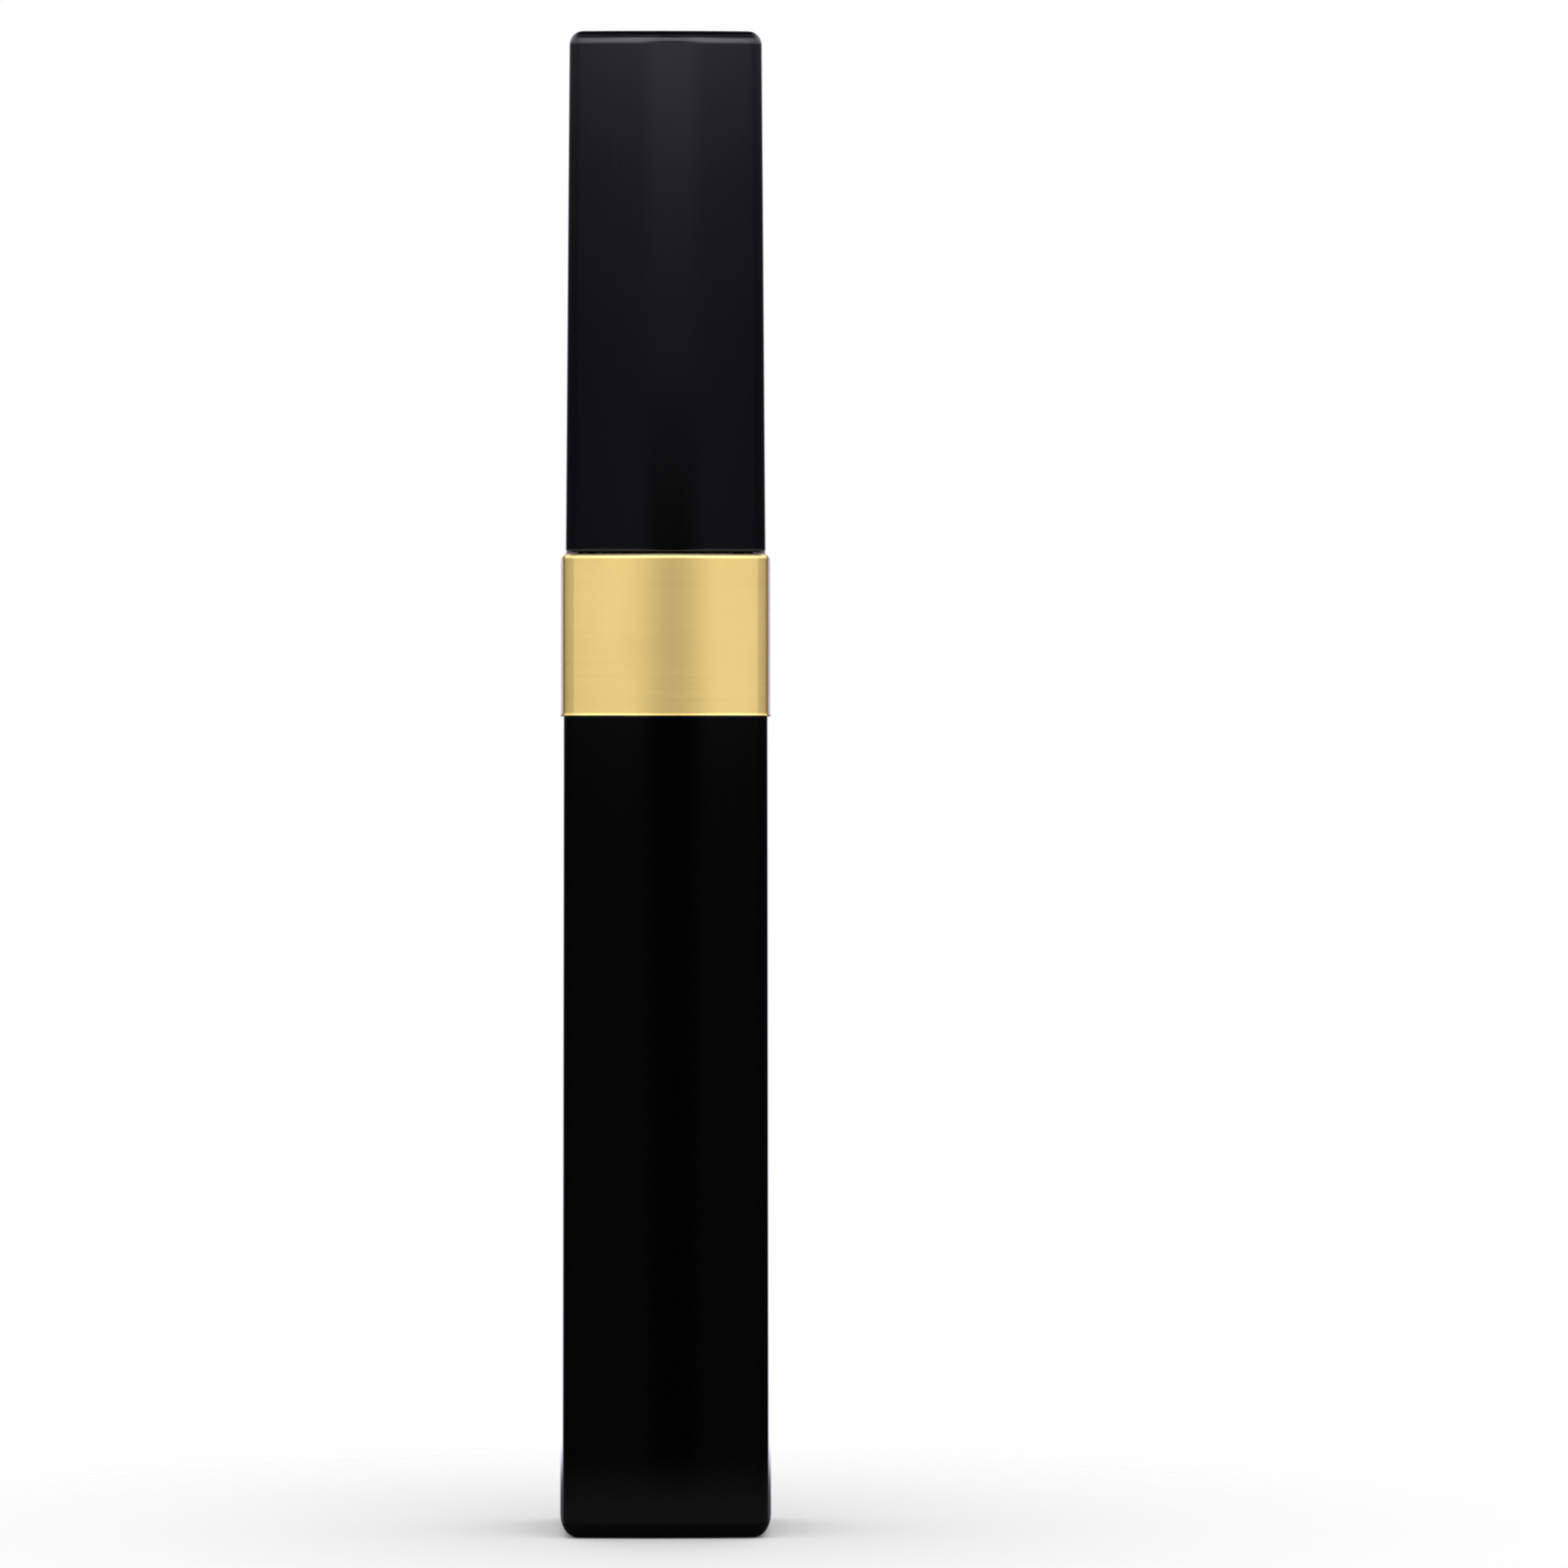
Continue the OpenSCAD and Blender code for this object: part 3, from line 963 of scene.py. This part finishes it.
@dataclass
class Brush:
    """The moulded brush and its film of mascara. Sizes are in millimetres.

    Attributes:
        rows: the rows of spikes round the core.
        pitch: the distance between the spikes of one row. Rows beside each other are offset.
        first: the height of the first spike over the tip.
        core: the radius of the core with its film.
        dome: the height of the rounded tip.
        reach: the radius at the spikes' tips.
        reach_tip, reach_rise: the radius at the first spike, and how fast it grows from there.
        shank, shank_length: the radius and the length of the shank in the wand's end.
        seed: what the small differences between the spikes are drawn from.
    """

    rows: int = 12
    pitch: float = 1.4
    first: float = 1.2
    core: float = 2.2
    dome: float = 1.3
    reach: float = 4.05
    reach_tip: float = 2.35
    reach_rise: float = 0.155
    shank: float = 1.06
    shank_length: float = 7.8
    seed: int = 7

    def build(self) -> None:
        """Builds the core and the spikes, and fits them."""
        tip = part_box("brush")[0][2] / MM
        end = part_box("wand_stem")[0][2] / MM
        core = skin("brush_core", self.core_rings(tip, end))
        fit(core, Body.APPLICATOR, BRUSH_TPE, "brush_elastomer", "brush")
        spikes = self.spikes(tip, end)
        fit(spikes, Body.APPLICATOR, BRUSH_TPE, "brush_elastomer")

    def core_rings(self, tip: float, end: float) -> list[Ring]:
        """Lays out the core with its lumpy film.

        Args:
            tip: the height of the brush's tip.
            end: the height of the wand's end.

        Returns:
            The core's rings, from the tip up to the top of its shank.
        """
        steps = 72
        heights = [self.dome * (1 - math.cos(i / 8 * math.pi / 2)) for i in range(1, 9)]
        while heights[-1] < end - tip - 0.3:
            heights.append(heights[-1] + 0.22)
        rings = []
        for up in heights:
            share = math.sin(math.acos(max(0.0, 1 - up / self.dome))) if up < self.dome else 1.0
            radius = (self.core - 0.2 + 0.2 * min(1.0, up / 9)) * share
            ring = []
            for x, y, z in circle(tip + up, radius, steps):
                swell = 1 + 0.07 * noise.noise(Vector((x, y, z)) * per_metre(0.9))
                ring.append((x * swell, y * swell, z))
            rings.append(ring)
        top = end + self.shank_length
        rings += [circle(end - 0.05, self.core - 0.1, steps),
                  circle(end - 0.05, self.shank, steps), circle(top - 0.6, self.shank, steps),
                  circle(top, self.shank - 0.35, steps)]
        return rings

    def spikes(self, tip: float, end: float) -> Piece:
        """Builds every spike into one mesh.

        Args:
            tip: the height of the brush's tip.
            end: the height of the wand's end.

        Returns:
            The spikes.
        """
        chance = random.Random(self.seed)
        shape = bmesh.new()
        count = int(2 * (end - tip - self.first) / self.pitch)
        for level in range(count):
            up = self.first + level * self.pitch / 2
            for row in range(self.rows // 2):
                angle = math.tau * (2 * row + level % 2 + 0.5) / self.rows
                reach = min(self.reach, self.reach_tip + self.reach_rise * up)
                self.spike(shape, tip + up, angle, reach, chance)
        return place(shape, "brush_spikes", crease_deg=60.0)

    def spike(
        self, shape: bmesh.types.BMesh, z: float, angle: float, reach: float,
        chance: random.Random,
    ) -> None:
        """Adds one spike: a flared root of mascara, a thin cone, perhaps a bead, and a blunt tip.

        Args:
            shape: the mesh that it joins.
            z: its height.
            angle: its direction round the axis, in radians.
            reach: the radius at its tip.
            chance: what its small differences are drawn from.
        """
        sides = 9
        angle += chance.gauss(0, 0.035)
        tilt = chance.gauss(0, 0.07)
        fat = 1 + chance.gauss(0, 0.12)
        reach *= 1 - abs(chance.gauss(0, 0.018))
        out = Vector((math.cos(angle), math.sin(angle), 0))
        aside = Vector((-math.sin(angle), math.cos(angle), 0))
        root = self.core - 0.45
        film = self.core - 0.02
        span = reach - film
        bead = chance.choice((1.0, 1.0, 1.15, 1.6))
        stations = [(root, 0.50), (film, 0.42), (film + 0.10 * span, 0.31),
                    (film + 0.26 * span, 0.22), (film + 0.5 * span, 0.165 * bead),
                    (film + 0.66 * span, 0.13 * bead), (film + 0.84 * span, 0.09),
                    (film + 0.96 * span, 0.06), (reach, 0.025)]
        rings = []
        for radius, wide in stations:
            centre = out * radius + Vector((0, 0, z + tilt * (radius - root)))
            ring = []
            for i in range(sides):
                t = math.tau * i / sides
                offset = aside * math.cos(t) + Vector((0, 0, 1)) * math.sin(t)
                ring.append(tuple((centre + offset * wide * fat) * MM))
            rings.append(ring)
        stitch(shape, rings)


@dataclass
class Applicator:
    """What the cap lifts out: the cap with its insert, the wand and the brush."""

    cap: Cap = field(default_factory=Cap)
    wand: Wand = field(default_factory=Wand)
    brush: Brush = field(default_factory=Brush)

    def build(self) -> None:
        """Builds the cap, the wand and the brush."""
        self.cap.build()
        self.wand.build()
        self.brush.build()

    def dress(self) -> None:
        """Gives the cap's insert and the seal washer their finishes."""
        dress("inner_cap", INSERT_PP, 0.08)
        dress("seal_washer", WASHER_FOAM, 0.06)


# ---------------- the studio


@dataclass
class SoftBox:
    """A soft light, aimed at the tube.

    Attributes:
        name: its name.
        azimuth, elevation: where it hangs, in degrees. Azimuth 0 is in front, 90 to the right.
        distance: how far off it is, in metres.
        size: its width and height, in metres.
        power: its power, in watts.
    """

    name: str
    azimuth: float
    elevation: float
    distance: float
    size: tuple[float, float]
    power: float

    def hang(self, aim: Vector) -> None:
        """Hangs the light and points it at a place."""
        az, el = math.radians(self.azimuth), math.radians(self.elevation)
        lamp = bpy.data.lights.new(self.name, "AREA")
        lamp.shape = "RECTANGLE"
        lamp.size, lamp.size_y = self.size
        lamp.energy = self.power
        box = bpy.data.objects.new(self.name, lamp)
        box.location = aim + self.distance * Vector(
            (math.sin(az) * math.cos(el), -math.cos(az) * math.cos(el), math.sin(el)))
        box.rotation_euler = (aim - box.location).to_track_quat("-Z", "Y").to_euler()
        box.visible_camera = False
        bpy.context.scene.collection.objects.link(box)


@dataclass
class Studio:
    """The floor, the light and the camera.

    Attributes:
        eye, aim: where the camera is and what it looks at, in millimetres.
        frame_mm: the width of the view at the tube, in millimetres.
        floor_radius: the paper's radius, in metres.
        lights: the soft boxes.
        lowest, highest: the elevations between which the gloss's room changes, in degrees.
        middle, sides, backdrop: what the gloss sees straight ahead, to the sides and behind, as
            the light at each elevation in degrees.
        flags: the bearings where the dark cloths beside the front start and reach their full
            depth, and the share of the light that they leave.
        ceiling: the same for the dark ceiling, by elevation.
        gap: how far from its bearing the middle ends and the sides start, in degrees.
        gap_bearing: the bearing of the middle, in degrees.
        card: the bearings where the white card behind the tube starts, in degrees.
    """

    eye: Point = (0.0, -607.0, 63.65)
    aim: Point = (10.12, 0.0, 63.65)
    frame_mm: float = 134.13
    floor_radius: float = 0.1
    lights: list[SoftBox] = field(default_factory=lambda: [
        SoftBox("left_soft_box", -16.0, 46.0, 0.9, (0.42, 0.5), 0.45),
        SoftBox("right_soft_box", 20.0, 46.0, 0.9, (0.54, 0.5), 0.6),
    ])
    lowest: float = -10.0
    highest: float = 30.0
    middle: tuple[tuple[float, float], ...] = (
        (-10, 0.1), (-7.5, 0.0), (0.7, 0.0), (3.0, 0.06), (3.6, 0.12), (4.8, 0.24), (5.7, 0.35),
        (6.1, 0.47), (6.9, 0.8), (9, 0.85), (12, 0.55), (24, 0.7), (30, 1.5),
    )
    sides: tuple[tuple[float, float], ...] = (
        (-10, 0.75), (-7.5, 0.03), (0.2, 0.04), (0.8, 0.08), (2.8, 0.15), (4.3, 0.16), (5.3, 0.23),
        (6.1, 0.32), (6.9, 0.58), (12, 1.6), (22, 2.65), (30, 2.9),
    )
    backdrop: tuple[tuple[float, float], ...] = (
        (-10, 0.3), (-5.7, 0.35), (-5.4, 1.3), (12, 1.4), (24, 0.05), (30, 0.02),
    )
    flags: tuple[float, float, float] = (3.0, 18.0, 0.62)
    ceiling: tuple[float, float, float] = (36.0, 68.0, 0.14)
    gap: tuple[float, float] = (1.2, 4.0)
    gap_bearing: float = 0.7
    card: tuple[float, float] = (138.0, 158.0)

    def set_up(self) -> None:
        """Lays the floor, hangs the lights, wraps the tube in light and sets the camera."""
        self.lay_floor()
        for light in self.lights:
            light.hang(Vector(self.aim) * MM)
        self.wrap_in_light()
        self.set_camera()

    def lay_floor(self) -> None:
        """Lays the round sheet of paper that the tube stands on."""
        mesh = bpy.data.meshes.new("floor_paper")
        shape = bmesh.new()
        bmesh.ops.create_circle(shape, cap_ends=True, cap_tris=True, segments=96,
                                radius=self.floor_radius)
        shape.to_mesh(mesh)
        shape.free()
        floor = bpy.data.objects.new("floor_paper", mesh)
        floor.data.materials.append(FLOOR_PAPER.material())
        bpy.context.scene.collection.objects.link(floor)

    def wrap_in_light(self) -> None:
        """Makes the room: white to look at and to light, and shaped light for the gloss."""
        world = bpy.data.worlds.new("studio_room")
        bpy.context.scene.world = world
        world.use_nodes = True
        world.cycles.sampling_method = "NONE"
        tree = world.node_tree
        tree.nodes.clear()
        look = add_node(tree, "ShaderNodeTexCoord")
        way = add_node(tree, "ShaderNodeSeparateXYZ", links={0: look.outputs["Generated"]})
        height = add_node(tree, "ShaderNodeMath", {"operation": "ARCSINE"},
                          {0: way.outputs["Z"]})
        rise = add_node(tree, "ShaderNodeMapRange", {
            "From Min": math.radians(self.lowest), "From Max": math.radians(self.highest),
        }, {"Value": height.outputs[0]})
        span = self.highest - self.lowest
        middle, sides, backdrop = (
            add_node(tree, "ShaderNodeValToRGB", {
                "stops": [((up - self.lowest) / span, self.cool(grey)) for up, grey in stops],
            }, {"Fac": rise.outputs[0]})
            for stops in (self.middle, self.sides, self.backdrop)
        )
        ahead = add_node(tree, "ShaderNodeMath", {"operation": "MULTIPLY", 1: -1.0},
                         {0: way.outputs["Y"]})
        bearing = add_node(tree, "ShaderNodeMath", {"operation": "ARCTAN2"},
                           {0: way.outputs["X"], 1: ahead.outputs[0]})
        turned = add_node(tree, "ShaderNodeMath",
                          {"operation": "SUBTRACT", 1: math.radians(self.gap_bearing)},
                          {0: bearing.outputs[0]})
        off = add_node(tree, "ShaderNodeMath", {"operation": "ABSOLUTE"},
                       {0: turned.outputs[0]})
        aside, behind = (
            add_node(tree, "ShaderNodeMapRange", {
                "interpolation_type": "SMOOTHSTEP",
                "From Min": math.radians(start), "From Max": math.radians(end),
            }, {"Value": off.outputs[0]})
            for start, end in (self.gap, self.card)
        )
        front = add_node(tree, "ShaderNodeMix", {"data_type": "RGBA"}, {
            0: aside.outputs[0], 6: middle.outputs[0], 7: sides.outputs[0]})
        beside, above = (
            add_node(tree, "ShaderNodeMapRange", {
                "interpolation_type": "SMOOTHSTEP", "To Min": 1.0, "To Max": left,
                "From Min": math.radians(start), "From Max": math.radians(end),
            }, {"Value": angle.outputs[0]})
            for angle, (start, end, left) in ((off, self.flags), (height, self.ceiling))
        )
        share = add_node(tree, "ShaderNodeMath", {"operation": "MULTIPLY"},
                         {0: beside.outputs[0], 1: above.outputs[0]})
        shaded = add_node(tree, "ShaderNodeVectorMath", {"operation": "SCALE"},
                          {0: front.outputs[2], "Scale": share.outputs[0]})
        room = add_node(tree, "ShaderNodeMix", {"data_type": "RGBA"}, {
            0: behind.outputs[0], 6: shaded.outputs[0], 7: backdrop.outputs[0]})
        path = add_node(tree, "ShaderNodeLightPath")
        seen = add_node(tree, "ShaderNodeMix", {"data_type": "RGBA", 6: (1, 1, 1, 1)},
                        {0: path.outputs["Is Glossy Ray"], 7: room.outputs[2]})
        light = add_node(tree, "ShaderNodeBackground", links={"Color": seen.outputs[2]})
        add_node(tree, "ShaderNodeOutputWorld", links={"Surface": light.outputs[0]})

    def cool(self, grey: float) -> tuple[float, float, float, float]:
        """Gives a grey of the room its faint cool cast."""
        return grey * 0.97, grey * 0.96, grey * 1.13, 1.0

    def set_camera(self) -> None:
        """Sets the camera level in front of the tube, with the tube left of the middle."""
        data = bpy.data.cameras.new("camera")
        camera = bpy.data.objects.new("camera", data)
        eye, aim = Vector(self.eye) * MM, Vector(self.aim) * MM
        camera.location = eye
        camera.rotation_euler = (aim - eye).to_track_quat("-Z", "Y").to_euler()
        data.sensor_width = 36.0
        data.lens = 36.0 * (aim - eye).length / (self.frame_mm * MM)
        data.clip_start, data.clip_end = 0.01, 20.0
        bpy.context.scene.collection.objects.link(camera)
        bpy.context.scene.camera = camera
        bpy.context.scene.view_settings.view_transform = "Standard"


def main() -> None:
    logging.basicConfig(level=logging.INFO, format="%(name)s: %(message)s")
    Studio().set_up()
    for assembly in (Container(), Applicator()):
        assembly.build()
        assembly.dress()


if __name__ == "__main__":
    main()
